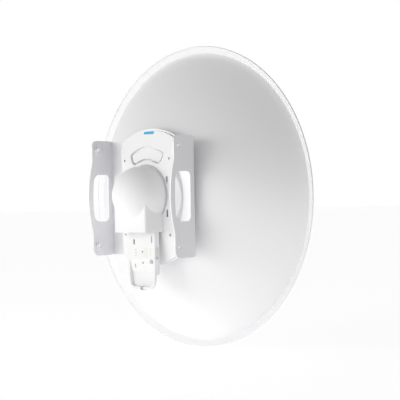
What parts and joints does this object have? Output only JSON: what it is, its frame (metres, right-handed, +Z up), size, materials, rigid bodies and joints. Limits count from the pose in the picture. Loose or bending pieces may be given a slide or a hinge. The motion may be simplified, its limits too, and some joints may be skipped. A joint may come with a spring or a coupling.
{
  "type": "outdoor wireless bridge",
  "caption": "Outdoor wireless bridge: parabolic dish with a domed rear hood, ported tail and slotted pole bracket.",
  "frame": {"origin": "centre of the four clamp-bolt holes in the bracket's flanges, on the dish's axis", "axes": "+Z up, +Y backwards to the pole (the beam leaves along -Y), +X to the right seen from in front of the dish's rim looking along +Y"},
  "size_m": [0.65, 0.3058, 0.65],
  "materials": {
    "dish_paint": "satin white powder coat on aluminium",
    "bracket_paint": "fine textured white powder coat on steel",
    "zinc_steel": "zinc plated",
    "dark_steel": "black oxide",
    "hub_plastic": "moulded acetal",
    "seal_rubber": "matt EPDM",
    "grommet_rubber": "light grey silicone",
    "feed_plastic": "satin moulded ABS",
    "board_laminate": "solder mask",
    "bare_aluminium": "mill finish",
    "tin_plate": "bright tin",
    "housing_plastic": "satin moulded ABS",
    "hood_plastic": "satin moulded ABS",
    "tail_plastic": "satin moulded ABS",
    "cover_plastic": "satin moulded ABS",
    "blue_print": "pad print",
    "jack_shell": "nickel plated shell",
    "button_plastic": "black",
    "lamp_lens": "clear",
    "label_film": "printed film"
  },
  "bodies": {
    "antenna": {"dish_reflector": "dish_paint", "mount_bracket": "bracket_paint", "front_clamp_ring": "bracket_paint", "hub_bolts": "zinc_steel", "hub_nuts": "zinc_steel", "hub_washers": "zinc_steel", "hub_collar": "hub_plastic", "feed_seal": "seal_rubber", "feed_tube": "feed_plastic", "feed_cap": "feed_plastic", "radiator_board": "board_laminate", "feed_post": "hub_plastic", "sub_reflector": "bare_aluminium", "radio_board": "board_laminate", "shield_can": "tin_plate", "heat_spreader": "bare_aluminium", "rear_housing": "housing_plastic", "housing_screws": "zinc_steel", "printed_mark": "blue_print", "hood": "hood_plastic", "tail_body": "tail_plastic", "tail_plate": "tail_plastic", "tail_screws": "zinc_steel", "port_board": "board_laminate", "board_screws": "zinc_steel", "ethernet_jack": "jack_shell", "reset_switch": "tin_plate", "light_pipes": "lamp_lens", "port_label": "label_film", "port_screw": "dark_steel", "ground_screw": "zinc_steel", "ground_washer": "zinc_steel"},
    "port_cover": {"port_cover": "cover_plastic", "cable_grommet": "grommet_rubber"},
    "reset_button": {"reset_button": "button_plastic"}
  },
  "joints": [
    {"name": "port_cover_slide", "type": "slide", "parent": "antenna", "child": "port_cover", "axis": [0, 0, -1], "range_m": [0, 0.022]},
    {"name": "reset_press", "type": "slide", "parent": "antenna", "child": "reset_button", "axis": [0, -1, 0], "range_m": [0, 0.0008], "stiffness_N_per_m": 800, "springref_m": -0.0005}
  ]
}
